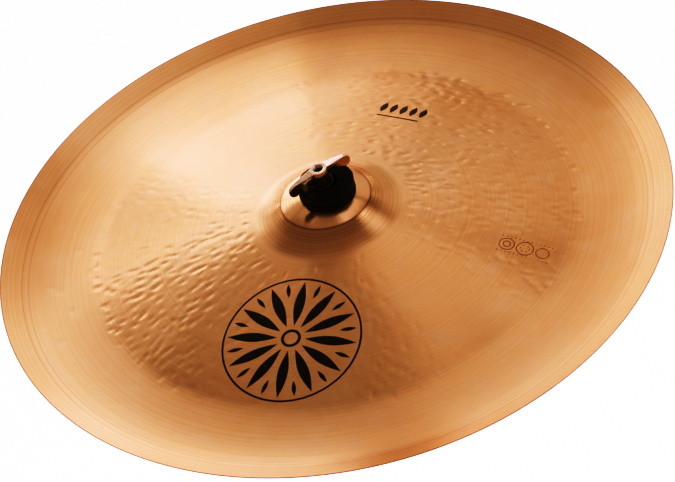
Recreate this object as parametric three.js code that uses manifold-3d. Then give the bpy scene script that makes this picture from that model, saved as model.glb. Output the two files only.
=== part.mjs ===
// A 17 inch china cymbal on the top of its stand rod, with its felts, sleeve, seat and wing nut.
// Everything is in millimetres. Z points up along the cymbal's axis, and the origin is at the
// flat foot of the post that carries it.

import * as THREE from 'three';
import { mergeVertices } from 'three/addons/utils/BufferGeometryUtils.js';
import Module from 'manifold-3d';

const wasm = await Module();
wasm.setup();

// Clearances
const seatGap = 0.3; // between two pieces that lie on each other
const boreGap = 0.3; // all round a shaft, in each bore that it passes through
const holePlay = 1.35; // room to rock on the sleeve, which makes a half inch hole
const cutOverrun = 1; // how far a cutting solid runs past the face that it cuts

// Cymbal plate. Heights and depths are taken from the plane of the rim.
const rimHeight = 30; // rim plane above the foot of the post
const rimRadius = 215.9; // 17 inch across
const lipWidth = 11.6; // upturned edge
const lipDepth = 6.9;
const climbWidth = 32.3; // band that climbs from the fold to the lip
const foldWidth = 20; // band where the bow levels out, down to the lowest line
const foldDrop = 2.8;
const bowEndDepth = 11.6;
const bowCrown = 1.2; // rise of the bow above a straight cone
const shoulderWidth = 19.1; // hollow round the bell
const shoulderDrop = 10.2;
const bellRadius = 28.9; // sharp crease round the bell
const creaseHeight = 16.9;
const bellRise = 4.6; // crown of the bell above the crease
const bellThickness = 1.4;
const bowThickness = 0.9;
const edgeThickness = 0.75;

// Curves of the plate, as shares of the band that each one crosses
const shoulderTurnShare = 0.62;
const foldTurnShare = 0.65;
const climbTurnShare = 0.14;
const climbMiddleShares = [0.51, 0.52]; // along the band, and up it
const climbEaseShares = [0.71, 0.79];

// Felts
const feltRadius = 18.1;
const feltEdge = 1; // soft corner
const feltShift = 2.3; // the two upper felts have slid off centre along X
const bellFeltThickness = 2.8; // over the crown of the bell, thicker at its edge
const nutFeltThickness = 5.1;
const seatFeltRadius = 17;
const seatFeltThickness = 8;

// Post, a threaded rod on a round foot
const rodRadius = 3; // M6
const rodChamfer = 0.6;
const rodRecess = 2.5; // end of the rod below the top of the wing nut
const footStep = 4; // foot wider than the rod, all round
const footHeight = 16;
const footChamfer = 1;

// Sleeve, washers and hexagon nut
const sleeveWall = 1.7;
const sleeveRecess = 0.8; // top of the sleeve below the top of the felts
const sleeveFlangeWidth = 7;
const sleeveFlangeThickness = 1.2;
const nutWasherMargin = 1.6; // wider than the foot of the wing nut, all round
const nutWasherThickness = 0.8;
const cupThickness = 1.2;
const cupLip = 2.6; // height of the cup's wall above its floor
const seatNutWall = 1.7; // from the bore to a flat
const seatNutHeight = 5;
const seatNutChamfer = 0.5;

// Wing nut. Heights are taken from its base.
const nutAngle = THREE.MathUtils.degToRad(25); // wings from the X axis
const nutHeight = 10;
const hubTopWall = 2.1;
const hubBaseWall = 3.1;
const nutMouth = 0.4; // chamfer at each end of the bore
const wingReach = 23.2;
const wingRootWidth = 7;
const wingTipWidth = 2.2;
const wingTopDrop = 3; // top edge at the tip below the top of the hub
const wingUnderHeight = 5; // lower edge of the wings beside the hub
const wingTipFoot = 0.2; // lower corner of the tip above the base
const wingLevelShare = 0.46; // how far out the lower edge stays level
const wingFootShare = 0.82; // how far out the lower corner of the tip lies
const wingBulgeShare = 0.6; // height of the tip's widest point
const tabAngle = THREE.MathUtils.degToRad(12); // tabs from the wings
const tabReach = 14.2;
const tabWidth = 2.4;
const tabFoot = 1.8;
const tabTop = 8.2;

// Fineness of the round shapes
const plateSides = 90;
const plateSteps = 3;
const roundSides = 36;
const curveSteps = 3;

// Radii that follow from the rod outwards, and from the rim inwards
const bore = rodRadius + boreGap;
const sleeveRadius = bore + sleeveWall;
const holeRadius = sleeveRadius + holePlay;
const seatFeltHole = sleeveRadius + boreGap;
const feltHole = seatFeltHole + feltShift;
const hubTopRadius = bore + hubTopWall;
const hubBaseRadius = bore + hubBaseWall;
const nutWasherRadius = hubBaseRadius + nutWasherMargin;
const shoulderRadius = bellRadius + shoulderWidth;
const foldRadius = rimRadius - lipWidth - climbWidth;

// Heights of the stack, worked out from the plate upwards and downwards
const shoulderHeight = creaseHeight - shoulderDrop;
const foldDepth = bowEndDepth + foldDrop;
const bellSphere = (bellRadius ** 2 + bellRise ** 2) / (2 * bellRise);
const crownHeight = rimHeight + creaseHeight + bellRise;
const bellFeltTop = crownHeight + seatGap + bellFeltThickness;
const nutFeltTop = bellFeltTop + seatGap + nutFeltThickness;
const nutWasherTop = nutFeltTop + seatGap + nutWasherThickness;
const nutBase = nutWasherTop + seatGap;
const seatFeltBase = crownHeight - bellThickness - seatGap - seatFeltThickness;
const sleeveBase = seatFeltBase - seatGap - sleeveFlangeThickness;
const cupFloor = sleeveBase - seatGap;
const seatNutBase = cupFloor - cupThickness - seatGap - seatNutHeight;

const bronze = new THREE.MeshStandardMaterial({ color: 0xe0a465, roughness: 0.35, metalness: 0.9 });
const nickel = new THREE.MeshStandardMaterial({ color: 0xd9b8a4, roughness: 0.25, metalness: 1 });
const steel = new THREE.MeshStandardMaterial({ color: 0xa9a9ab, roughness: 0.4, metalness: 1 });
const blackFelt = new THREE.MeshStandardMaterial({ color: 0x161312, roughness: 1, metalness: 0 });
const blackNylon = new THREE.MeshStandardMaterial({ color: 0x1a1a1c, roughness: 0.5, metalness: 0 });

// Turns a closed outline of radius and height round the Z axis.
function turned(outline, sides = roundSides) {
  const geometry = new THREE.LatheGeometry(outline, sides);
  geometry.rotateX(Math.PI / 2);
  return welded(geometry);
}

function welded(geometry) {
  geometry.deleteAttribute('normal');
  geometry.deleteAttribute('uv');
  const merged = mergeVertices(geometry);
  merged.computeVertexNormals();
  return merged;
}

function toSolid(geometry) {
  const merged = welded(geometry);
  return new wasm.Manifold(new wasm.Mesh({
    numProp: 3,
    vertProperties: merged.attributes.position.array,
    triVerts: Uint32Array.from(merged.index.array),
  }));
}

function toGeometry(solid) {
  const mesh = solid.getMesh();
  const geometry = new THREE.BufferGeometry();
  geometry.setAttribute('position', new THREE.BufferAttribute(mesh.vertProperties, 3));
  geometry.setIndex(new THREE.BufferAttribute(mesh.triVerts, 1));
  geometry.computeVertexNormals();
  return geometry;
}

// Upper face of the plate, from the hole to the rim, as points of radius and height.
function plateFace() {
  const bowEnd = foldRadius - foldWidth;
  const lipStart = rimRadius - lipWidth;
  const bowTurn = (shoulderRadius + bowEnd) / 2;
  const bowTurnHeight = (shoulderHeight - bowEndDepth) / 2 + 2 * bowCrown;
  const bowSlope = (bowTurnHeight - shoulderHeight) / (bowTurn - shoulderRadius);
  const shoulderTurn = THREE.MathUtils.lerp(bellRadius, shoulderRadius, shoulderTurnShare);
  const climb = foldDepth - lipDepth;
  const arcStart = Math.acos(holeRadius / bellSphere);
  const arcEnd = Math.acos(bellRadius / bellSphere);
  const face = new THREE.Path();
  face.absarc(0, creaseHeight + bellRise - bellSphere, bellSphere, arcStart, arcEnd, true);
  face.quadraticCurveTo(
    shoulderTurn, shoulderHeight + bowSlope * (shoulderTurn - shoulderRadius),
    shoulderRadius, shoulderHeight,
  );
  face.quadraticCurveTo(bowTurn, bowTurnHeight, bowEnd, -bowEndDepth);
  face.quadraticCurveTo(bowEnd + foldTurnShare * foldWidth, -foldDepth, foldRadius, -foldDepth);
  face.quadraticCurveTo(
    foldRadius + climbTurnShare * climbWidth, -foldDepth,
    foldRadius + climbMiddleShares[0] * climbWidth, climbMiddleShares[1] * climb - foldDepth,
  );
  face.quadraticCurveTo(
    foldRadius + climbEaseShares[0] * climbWidth, climbEaseShares[1] * climb - foldDepth,
    lipStart, -lipDepth,
  );
  face.lineTo(rimRadius, 0);
  const points = face.getPoints(plateSteps);
  points.forEach((point) => {
    point.y += rimHeight;
  });
  return points;
}

function thicknessAt(radius) {
  if (radius > foldRadius) {
    return THREE.MathUtils.mapLinear(radius, foldRadius, rimRadius, bowThickness, edgeThickness);
  }
  const place = Math.max(radius, bellRadius);
  return THREE.MathUtils.mapLinear(place, bellRadius, foldRadius, bellThickness, bowThickness);
}

// Height of the plate's upper face at a radius. Inside the hole the bell's sphere carries on.
function faceHeight(radius) {
  if (radius < bellRadius) {
    return crownHeight - bellSphere + Math.sqrt(bellSphere ** 2 - radius ** 2);
  }
  const face = plateFace();
  const next = face.findIndex((point) => point.x > radius);
  const [inner, outer] = [face[next - 1], face[next]];
  return THREE.MathUtils.mapLinear(radius, inner.x, outer.x, inner.y, outer.y);
}

function cymbalPlate() {
  const face = plateFace();
  const underside = face.map((point) => new THREE.Vector2(point.x, point.y - thicknessAt(point.x)));
  return turned([...underside, ...face.reverse(), underside[0]], plateSides);
}

// The felt on the bell is moulded to the bell's crown by the pull of the nut: a flat disc, off
// centre, less all that lies under the plate's face and the gap over it.
function bellFelt() {
  const outline = new THREE.Path();
  outline.moveTo(feltHole, rimHeight);
  outline.lineTo(feltRadius, rimHeight);
  outline.lineTo(feltRadius, bellFeltTop - feltEdge);
  outline.quadraticCurveTo(feltRadius, bellFeltTop, feltRadius - feltEdge, bellFeltTop);
  outline.lineTo(feltHole, bellFeltTop);
  outline.lineTo(feltHole, rimHeight);
  const disc = turned(outline.getPoints(curveSteps));
  disc.translate(feltShift, 0, 0);

  const reach = feltRadius + feltShift + cutOverrun;
  const crown = new THREE.Path();
  crown.moveTo(0, rimHeight - cutOverrun);
  crown.lineTo(reach, rimHeight - cutOverrun);
  stations(reach, 0).forEach((radius) => crown.lineTo(radius, faceHeight(radius) + seatGap));
  return toGeometry(toSolid(disc).subtract(toSolid(turned(crown.getPoints()))));
}

// Radii at even steps, where a face that follows the bell is worked out.
function stations(from, to) {
  const count = 2 * curveSteps;
  return Array.from({ length: count + 1 }, (_, i) => THREE.MathUtils.lerp(from, to, i / count));
}

function nutFelt() {
  const bottom = bellFeltTop + seatGap;
  const outline = new THREE.Path();
  outline.moveTo(feltHole, bottom);
  outline.lineTo(feltRadius - feltEdge, bottom);
  outline.quadraticCurveTo(feltRadius, bottom, feltRadius, bottom + feltEdge);
  outline.lineTo(feltRadius, nutFeltTop - feltEdge);
  outline.quadraticCurveTo(feltRadius, nutFeltTop, feltRadius - feltEdge, nutFeltTop);
  outline.lineTo(feltHole, nutFeltTop);
  outline.lineTo(feltHole, bottom);
  const felt = turned(outline.getPoints(curveSteps));
  felt.translate(feltShift, 0, 0);
  return felt;
}

// The felt below fills the hollow of the bell and rests on the sleeve's flange.
function seatFelt() {
  const outline = new THREE.Path();
  outline.moveTo(seatFeltHole, seatFeltBase);
  outline.lineTo(seatFeltRadius - feltEdge, seatFeltBase);
  outline.quadraticCurveTo(seatFeltRadius, seatFeltBase, seatFeltRadius, seatFeltBase + feltEdge);
  stations(seatFeltRadius, seatFeltHole).forEach((radius) => {
    outline.lineTo(radius, faceHeight(radius) - thicknessAt(radius) - seatGap);
  });
  outline.lineTo(seatFeltHole, seatFeltBase);
  return turned(outline.getPoints(curveSteps));
}

function postSleeve() {
  const top = nutFeltTop - sleeveRecess;
  const flangeRadius = sleeveRadius + sleeveFlangeWidth;
  const outline = new THREE.Path();
  outline.moveTo(bore, sleeveBase);
  outline.lineTo(flangeRadius, sleeveBase);
  outline.lineTo(flangeRadius, sleeveBase + sleeveFlangeThickness);
  outline.lineTo(sleeveRadius, sleeveBase + sleeveFlangeThickness);
  outline.lineTo(sleeveRadius, top);
  outline.lineTo(bore, top);
  outline.lineTo(bore, sleeveBase);
  return turned(outline.getPoints());
}

// A pressed cup that stands round the foot of the seat felt.
function seatWasher() {
  const inside = seatFeltRadius + boreGap;
  const outside = inside + cupThickness;
  const bottom = cupFloor - cupThickness;
  const outline = new THREE.Path();
  outline.moveTo(bore, bottom);
  outline.lineTo(inside, bottom);
  outline.quadraticCurveTo(outside, bottom, outside, cupFloor);
  outline.lineTo(outside, cupFloor + cupLip);
  outline.lineTo(inside, cupFloor + cupLip);
  outline.lineTo(inside, cupFloor);
  outline.lineTo(bore, cupFloor);
  outline.lineTo(bore, bottom);
  return turned(outline.getPoints(curveSteps));
}

// A hexagon prism whose corners are turned back at both ends.
function seatNut() {
  const corner = 2 * (bore + seatNutWall) / Math.sqrt(3);
  const top = seatNutBase + seatNutHeight;
  const prism = new THREE.CylinderGeometry(corner, corner, seatNutHeight, 6);
  prism.rotateX(Math.PI / 2);
  prism.translate(0, 0, seatNutBase + seatNutHeight / 2);
  const outline = new THREE.Path();
  outline.moveTo(bore, seatNutBase);
  outline.lineTo(corner - seatNutChamfer, seatNutBase);
  outline.lineTo(corner, seatNutBase + seatNutChamfer);
  outline.lineTo(corner, top - seatNutChamfer);
  outline.lineTo(corner - seatNutChamfer, top);
  outline.lineTo(bore, top);
  outline.lineTo(bore, seatNutBase);
  return toGeometry(toSolid(prism).intersect(toSolid(turned(outline.getPoints()))));
}

function cymbalPost() {
  const top = nutBase + nutHeight - rodRecess;
  const footRadius = rodRadius + footStep;
  const outline = new THREE.Path();
  outline.moveTo(0, 0);
  outline.lineTo(footRadius - footChamfer, 0);
  outline.lineTo(footRadius, footChamfer);
  outline.lineTo(footRadius, footHeight - footChamfer);
  outline.lineTo(footRadius - footChamfer, footHeight);
  outline.lineTo(rodRadius, footHeight);
  outline.lineTo(rodRadius, top - rodChamfer);
  outline.lineTo(rodRadius - rodChamfer, top);
  outline.lineTo(0, top);
  return turned(outline.getPoints());
}

function nutWasher() {
  const bottom = nutFeltTop + seatGap;
  const outline = new THREE.Path();
  outline.moveTo(bore, bottom);
  outline.lineTo(nutWasherRadius, bottom);
  outline.lineTo(nutWasherRadius, nutWasherTop);
  outline.lineTo(bore, nutWasherTop);
  outline.lineTo(bore, bottom);
  return turned(outline.getPoints());
}

// The wings seen from above: widest at the hub, and round at the tips.
function wingPlan() {
  const root = wingRootWidth / 2;
  const tip = wingTipWidth / 2;
  const plan = new THREE.Shape();
  plan.moveTo(0, -root);
  plan.lineTo(wingReach - tip, -tip);
  plan.absarc(wingReach - tip, 0, tip, -Math.PI / 2, Math.PI / 2, false);
  plan.lineTo(0, root);
  plan.lineTo(tip - wingReach, tip);
  plan.absarc(tip - wingReach, 0, tip, Math.PI / 2, 3 * Math.PI / 2, false);
  plan.lineTo(0, -root);
  const geometry = new THREE.ExtrudeGeometry(plan, {
    depth: nutHeight, bevelEnabled: false, curveSegments: curveSteps,
  });
  return toSolid(geometry);
}

// The wings seen from the side: they droop towards their tips.
function wingSide() {
  const level = wingLevelShare * wingReach;
  const foot = wingFootShare * wingReach;
  const tipTop = nutHeight - wingTopDrop;
  const bulge = THREE.MathUtils.lerp(wingTipFoot, tipTop, wingBulgeShare);
  const side = new THREE.Shape();
  side.moveTo(-level, wingUnderHeight);
  side.lineTo(level, wingUnderHeight);
  side.lineTo(foot, wingTipFoot);
  side.quadraticCurveTo(wingReach, wingTipFoot, wingReach, bulge);
  side.quadraticCurveTo(wingReach, tipTop, foot, (tipTop + nutHeight) / 2);
  side.lineTo(hubTopRadius, nutHeight);
  side.lineTo(-hubTopRadius, nutHeight);
  side.lineTo(-foot, (tipTop + nutHeight) / 2);
  side.quadraticCurveTo(-wingReach, tipTop, -wingReach, bulge);
  side.quadraticCurveTo(-wingReach, wingTipFoot, -foot, wingTipFoot);
  side.lineTo(-level, wingUnderHeight);
  const geometry = new THREE.ExtrudeGeometry(side, {
    depth: wingRootWidth, bevelEnabled: false, curveSegments: curveSteps,
  });
  geometry.rotateX(Math.PI / 2);
  geometry.translate(0, wingRootWidth / 2, 0);
  return toSolid(geometry);
}

function wingNut() {
  const outline = new THREE.Path();
  outline.moveTo(0, 0);
  outline.lineTo(hubBaseRadius, 0);
  outline.lineTo(hubTopRadius, nutHeight);
  outline.lineTo(0, nutHeight);
  const hub = toSolid(turned(outline.getPoints()));

  const tabs = new THREE.BoxGeometry(2 * tabReach, tabWidth, tabTop - tabFoot);
  tabs.translate(0, 0, (tabTop + tabFoot) / 2);
  tabs.rotateZ(tabAngle);

  const cutter = new THREE.Path();
  cutter.moveTo(0, -cutOverrun);
  cutter.lineTo(bore + nutMouth + cutOverrun, -cutOverrun);
  cutter.lineTo(bore, nutMouth);
  cutter.lineTo(bore, nutHeight - nutMouth);
  cutter.lineTo(bore + nutMouth + cutOverrun, nutHeight + cutOverrun);
  cutter.lineTo(0, nutHeight + cutOverrun);

  const wings = wingPlan().intersect(wingSide());
  const body = hub.add(wings).add(toSolid(tabs)).subtract(toSolid(turned(cutter.getPoints())));
  return toGeometry(body);
}

function piece(name, geometry, material) {
  const mesh = new THREE.Mesh(geometry, material.clone());
  mesh.name = name;
  return mesh;
}

const cymbal = new THREE.Group();
cymbal.add(piece('cymbal_post', cymbalPost(), steel));
cymbal.add(piece('seat_nut', seatNut(), steel));
cymbal.add(piece('seat_washer', seatWasher(), steel));
cymbal.add(piece('post_sleeve', postSleeve(), blackNylon));
cymbal.add(piece('seat_felt', seatFelt(), blackFelt));
cymbal.add(piece('cymbal_plate', cymbalPlate(), bronze));
cymbal.add(piece('bell_felt', bellFelt(), blackFelt));
cymbal.add(piece('nut_felt', nutFelt(), blackFelt));
cymbal.add(piece('nut_washer', nutWasher(), blackNylon));

const nut = piece('wing_nut', wingNut(), nickel);
nut.position.z = nutBase;
nut.rotation.z = nutAngle;
cymbal.add(nut);

export default cymbal;
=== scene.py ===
"""A 17 inch china cymbal between its felts, on the rod of its stand. Metres, +Z up."""

import math

import bmesh
import bpy
import numpy as np
from mathutils import Matrix, Vector, noise
from mathutils.bvhtree import BVHTree


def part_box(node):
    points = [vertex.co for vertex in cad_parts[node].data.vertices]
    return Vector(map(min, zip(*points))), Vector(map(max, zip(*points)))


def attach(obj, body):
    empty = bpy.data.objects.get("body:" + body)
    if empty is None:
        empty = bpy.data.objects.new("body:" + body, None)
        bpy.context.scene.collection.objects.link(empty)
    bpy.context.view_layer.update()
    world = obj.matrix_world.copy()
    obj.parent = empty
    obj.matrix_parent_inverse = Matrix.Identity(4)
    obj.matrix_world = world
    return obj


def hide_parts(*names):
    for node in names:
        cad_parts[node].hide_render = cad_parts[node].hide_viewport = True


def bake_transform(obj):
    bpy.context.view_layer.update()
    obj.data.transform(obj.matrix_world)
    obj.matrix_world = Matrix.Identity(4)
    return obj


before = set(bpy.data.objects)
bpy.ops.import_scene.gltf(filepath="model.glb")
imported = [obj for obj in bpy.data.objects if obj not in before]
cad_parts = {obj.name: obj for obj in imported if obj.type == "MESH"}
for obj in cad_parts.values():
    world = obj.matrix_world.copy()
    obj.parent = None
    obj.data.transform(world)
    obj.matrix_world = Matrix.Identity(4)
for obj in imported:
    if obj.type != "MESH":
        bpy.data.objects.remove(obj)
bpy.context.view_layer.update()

# Stand rod. A steel bar with a foot turned on it and an M6 thread rolled down from its top. The
# foot screws to the stand, and every other piece is stacked on the thread.
mm = 0.001
rod_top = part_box("cymbal_post")[1].z
rod_radius = 3 * mm
rod_chamfer = 0.6 * mm
foot_radius = 7 * mm
foot_height = 16 * mm
foot_chamfer = 1 * mm
foot_groove = 0.35 * mm
foot_groove_heights = (4 * mm, 12 * mm)
thread_start = 28 * mm
thread_fade = 1.5 * mm
thread_pitch = 1 * mm
thread_depth = 0.55 * mm
thread_row = 0.1 * mm
thread_root = 0.12
thread_flank = 0.68
rod_middle = 0.2 * mm
rod_sides = 64
zinc_bright = (0.66, 0.66, 0.65, 1)
zinc_dull = (0.42, 0.42, 0.43, 1)
zinc_worn = (0.78, 0.77, 0.74, 1)
# Darker, browner zinc towards the top of the rod, the height where it starts, and the height over which
# it fades in.
zinc_dark_top = (0.05, 0.035, 0.03, 1)
dark_top_start = 62 * mm
dark_top_fade = 3 * mm


def bend(start, turn, end, steps):
    """Points of a curve from start to end that heads for turn from both."""
    t = np.linspace(0, 1, steps + 1)[:, None]
    return (1 - t) ** 2 * np.array(start) + 2 * t * (1 - t) * np.array(turn) + t**2 * np.array(end)


def polar(radius, angle):
    """The place at a radius and an angle."""
    return radius * math.cos(angle), radius * math.sin(angle)


def soft_corners(outline, size, closed=True, steps=3):
    """An outline of (radius, height), its corners rounded off over less than half of each side."""
    outline = [np.array(point, dtype=float) for point in outline]
    rounded = []
    for place, corner in enumerate(outline):
        if not closed and place in (0, len(outline) - 1):
            rounded.append(corner[None])
            continue
        ends = []
        for beside in (outline[place - 1], outline[(place + 1) % len(outline)]):
            length = np.linalg.norm(beside - corner)
            ends.append(corner + (beside - corner) * (min(size, length / 2.2) / length))
        rounded.append(bend(ends[0], corner, ends[1], steps))
    return np.concatenate(rounded)


def revolve(outline, sides, closed=True, reshape=None):
    """Points and faces of an outline of (radius, height), anticlockwise on its right, turned round Z.

    reshape takes the radius, angle and height of every point, and gives its new radius and height.
    """
    angle = np.arange(sides) * (2 * math.pi / sides)
    radius, height = (column[:, None] + 0 * angle for column in np.array(outline).T)
    if reshape:
        radius, height = reshape(radius, angle + 0 * radius, height)
    points = np.stack([radius * np.cos(angle), radius * np.sin(angle), height], -1).reshape(-1, 3)
    ring = np.arange(len(outline))[:, None] * sides
    here, ahead = (ring, np.roll(ring, -1, axis=0)) if closed else (ring[:-1], ring[1:])
    side = np.arange(sides)
    onward = (side + 1) % sides
    quads = np.stack([here + side, here + onward, ahead + onward, ahead + side], -1)
    faces = quads.reshape(-1, 4).tolist()
    if not closed:
        faces.append(list(range(sides))[::-1])
        faces.append(list(range(len(points) - sides, len(points))))
    return points, faces


def tooth(angle, height):
    """How full a right-hand thread is at an angle and a height: 0 in its root, 1 on its crest."""
    turn = (height / thread_pitch - angle / (2 * math.pi)) % 1
    return np.clip((1 - abs(2 * turn - 1) - thread_root) / thread_flank, 0, 1)


def new_object(name, data):
    """A new object in the scene."""
    added = bpy.data.objects.new(name, data)
    bpy.context.scene.collection.objects.link(added)
    return added


def new_piece(name, points, faces, material, body, slot, nodes=(), crease=35):
    """A smooth mesh, sharp where its faces turn by more than crease degrees, tied into the frame."""
    mesh = bpy.data.meshes.new(name)
    mesh.from_pydata(np.asarray(points).tolist(), [], faces)
    mesh.shade_smooth()
    mesh.set_sharp_from_angle(angle=math.radians(crease))
    mesh.materials.append(material)
    piece = new_object(name, mesh)
    if body:
        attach(piece, body)
    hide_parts(*nodes)
    return piece


def put(tree, kind, inputs=(), **settings):
    """Adds a shader node. inputs holds, for a socket, its value or the output that feeds it."""
    made = tree.nodes.new(kind)
    for name, value in settings.items():
        setattr(made, name, value)
    for name, value in dict(inputs).items():
        if isinstance(value, bpy.types.NodeSocket):
            tree.links.new(value, made.inputs[name])
        else:
            made.inputs[name].default_value = value
    return made


def calc(operation, first, *others):
    """The output of one sum on an output and other numbers, in the tree that the output is in."""
    inputs = dict(enumerate((first, *others)))
    return put(first.id_data, "ShaderNodeMath", inputs, operation=operation).outputs[0]


def band(value, low, high, out_low=0.0, out_high=1.0):
    """value, from low to high, turned smoothly into out_low to out_high."""
    inputs = {"Value": value, "From Min": low, "From Max": high, "To Min": out_low, "To Max": out_high}
    return put(value.id_data, "ShaderNodeMapRange", inputs, interpolation_type="SMOOTHSTEP").outputs[0]


def line_at(value, middle, width):
    """A soft line where value is at a middle: 1 there, and 0 from a width away."""
    return band(calc("ABSOLUTE", calc("SUBTRACT", value, middle)), width, 0.0)


def mix(share, first, second):
    """The first colour, turned into the second one by a share."""
    inputs = {0: share, 6: first, 7: second}
    return put(share.id_data, "ShaderNodeMix", inputs, data_type="RGBA").outputs[2]


def noise_at(place, scale, detail=3.0, roughness=0.55):
    """Soft noise with scale features to the metre."""
    inputs = {"Vector": place, "Scale": scale, "Detail": detail, "Roughness": roughness}
    return put(place.id_data, "ShaderNodeTexNoise", inputs).outputs["Fac"]


def axes_of(vector):
    """The X, Y and Z of a vector."""
    return put(vector.id_data, "ShaderNodeSeparateXYZ", {0: vector}).outputs


def new_effect(name, inputs, outputs):
    """An empty shader group of a place and named numbers: its tree, its start and its end."""
    tree = bpy.data.node_groups.new(name, "ShaderNodeTree")
    tree.interface.new_socket("Place", in_out="INPUT", socket_type="NodeSocketVector")
    for side, labels in (("INPUT", inputs), ("OUTPUT", outputs)):
        for label in labels:
            tree.interface.new_socket(label, in_out=side, socket_type="NodeSocketFloat")
    return tree, tree.nodes.new("NodeGroupInput").outputs, tree.nodes.new("NodeGroupOutput").inputs


def new_finish(name, **sockets):
    """A material with one Principled shader: the material, the shader and object space."""
    material = bpy.data.materials.new(name)
    material.use_nodes = True
    tree = material.node_tree
    shader = tree.nodes["Principled BSDF"]
    for label, value in sockets.items():
        shader.inputs[label.replace("_", " ")].default_value = value
    return material, shader, put(tree, "ShaderNodeTexCoord").outputs["Object"]


def effect(group, place, **inputs):
    """The outputs of an effect that is put to work at a place."""
    return put(place.id_data, "ShaderNodeGroup", {"Place": place, **inputs}, node_tree=group).outputs


def dress(shader, colour, rough, relief, strength, depth, **more):
    """Feeds a shader its colour, its roughness and the relief that is too fine to model."""
    tree = shader.id_data
    bump = put(tree, "ShaderNodeBump", {"Height": relief, "Strength": strength, "Distance": depth})
    fed = {"Base Color": colour, "Roughness": rough, "Normal": bump.outputs[0], **more}
    for label, output in fed.items():
        tree.links.new(output, shader.inputs[label])


def worn_edges_effect():
    """Where handling has rubbed a piece's edges: most on the sharpest ones, and broken up."""
    tree, start, end = new_effect("worn edges", ["Reach"], ["Mask"])
    edge = put(tree, "ShaderNodeNewGeometry").outputs["Pointiness"]
    breaks = calc("MULTIPLY", noise_at(start["Place"], 900.0), 0.06)
    raised = calc("SUBTRACT", calc("ADD", edge, start["Reach"]), breaks)
    tree.links.new(band(raised, 0.50, 0.56), end["Mask"])
    return tree


def scratches_effect():
    """Short fine scratches, in two directions, that come and go over the surface."""
    tree, start, end = new_effect("scratches", ["Density"], ["Mask"])
    marks = []
    for angle, stretch in ((0.5, (60.0, 2600.0, 60.0)), (2.1, (2600.0, 80.0, 80.0))):
        turned = {"Vector": start["Place"], "Angle": angle}
        turned = put(tree, "ShaderNodeVectorRotate", turned, rotation_type="Z_AXIS").outputs[0]
        drawn = put(tree, "ShaderNodeVectorMath", {0: turned, 1: stretch}, operation="MULTIPLY")
        marks.append(line_at(noise_at(drawn.outputs[0], 1.0, 1.0), 0.5, 0.012))
    both = calc("MAXIMUM", *marks)
    here = band(calc("ADD", noise_at(start["Place"], 90.0), start["Density"]), 0.75, 0.95)
    tree.links.new(calc("MULTIPLY", both, here), end["Mask"])
    return tree


worn_edges = worn_edges_effect()
scratches = scratches_effect()


def wear(place, reach, density):
    """Worn edges, scratches, and where there is either."""
    worn = effect(worn_edges, place, Reach=reach)[0]
    scratch = effect(scratches, place, Density=density)[0]
    return worn, scratch, calc("MAXIMUM", worn, scratch)


def zinc_plate():
    """Zinc plated steel: grey, cloudy, scratched, and brighter along its edges."""
    finish, shader, place = new_finish("zinc plated steel", Metallic=1.0)
    cloud = noise_at(place, 240.0, 5.0)
    worn, scratch, bare = wear(place, 0.01, 0.3)
    colour = mix(band(cloud, 0.35, 0.7), zinc_bright, zinc_dull)
    colour = mix(bare, colour, zinc_worn)
    # Darker and browner towards the top of the rod, in clouds.
    dark_top = band(axes_of(place)["Z"], dark_top_start, dark_top_start + dark_top_fade)
    dark_top = calc("MULTIPLY", dark_top, band(cloud, 0.2, 0.5, 0.8, 1.0))
    colour = mix(dark_top, colour, zinc_dark_top)
    rough = calc("MULTIPLY_ADD", worn, -0.1, band(cloud, 0.3, 0.75, 0.30, 0.48))
    relief = calc("SUBTRACT", noise_at(place, 2500.0), scratch)
    dress(shader, colour, rough, relief, 0.25, 0.05 * mm)
    return finish


def rod_outline():
    """Half the section of the rod and its foot, from the axis below to the axis above."""
    foot = [(rod_middle, 0), (foot_radius, 0)]
    for height in foot_groove_heights:
        half = foot_groove * 1.4
        foot += [(foot_radius, height - half), (foot_radius - foot_groove, height)]
        foot += [(foot_radius, height + half)]
    foot += [(foot_radius, foot_height), (rod_radius, foot_height), (rod_radius, thread_start)]
    foot = soft_corners(foot, foot_chamfer / 2, closed=False)
    rows = np.arange(thread_start + thread_row, rod_top - rod_chamfer, thread_row)
    thread = np.stack([rod_radius + 0 * rows, rows], -1)
    chamfer_start = (rod_radius, rod_top - rod_chamfer)
    end = np.linspace(chamfer_start, (rod_radius - rod_chamfer, rod_top), 4)
    return np.concatenate([foot, thread, end, [(rod_middle, rod_top)]])


def rolled_thread(radius, angle, height):
    """Rolls the thread into the top of the rod. It fades out where it starts, and in the chamfer."""
    below_chamfer = radius > rod_radius - 0.9 * rod_chamfer
    share = np.clip((height - thread_start) / thread_fade, 0, 1) * below_chamfer
    root = rod_radius - thread_depth * (1 - tooth(angle, height))
    return np.minimum(radius, radius + share * (root - rod_radius)), height


zinc = zinc_plate()
new_piece(
    "stand_rod", *revolve(rod_outline(), rod_sides, closed=False, reshape=rolled_thread),
    zinc, "post", "steel", ["cymbal_post"],
)

# Seat nut. A hexagon nut, 10 mm across its flats, pressed from steel and chamfered. It is wound
# down the rod, and holds up the cup that the lower felt sits in.
nut_low, nut_high = (corner.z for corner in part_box("seat_nut"))
hexagon_flat = 5 * mm
hexagon_corner = 2 * hexagon_flat / math.sqrt(3)
hexagon_chamfer = 0.5 * mm
nut_bore = 3.05 * mm
nut_mouth = 0.4 * mm
hexagon_sides = 96


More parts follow.
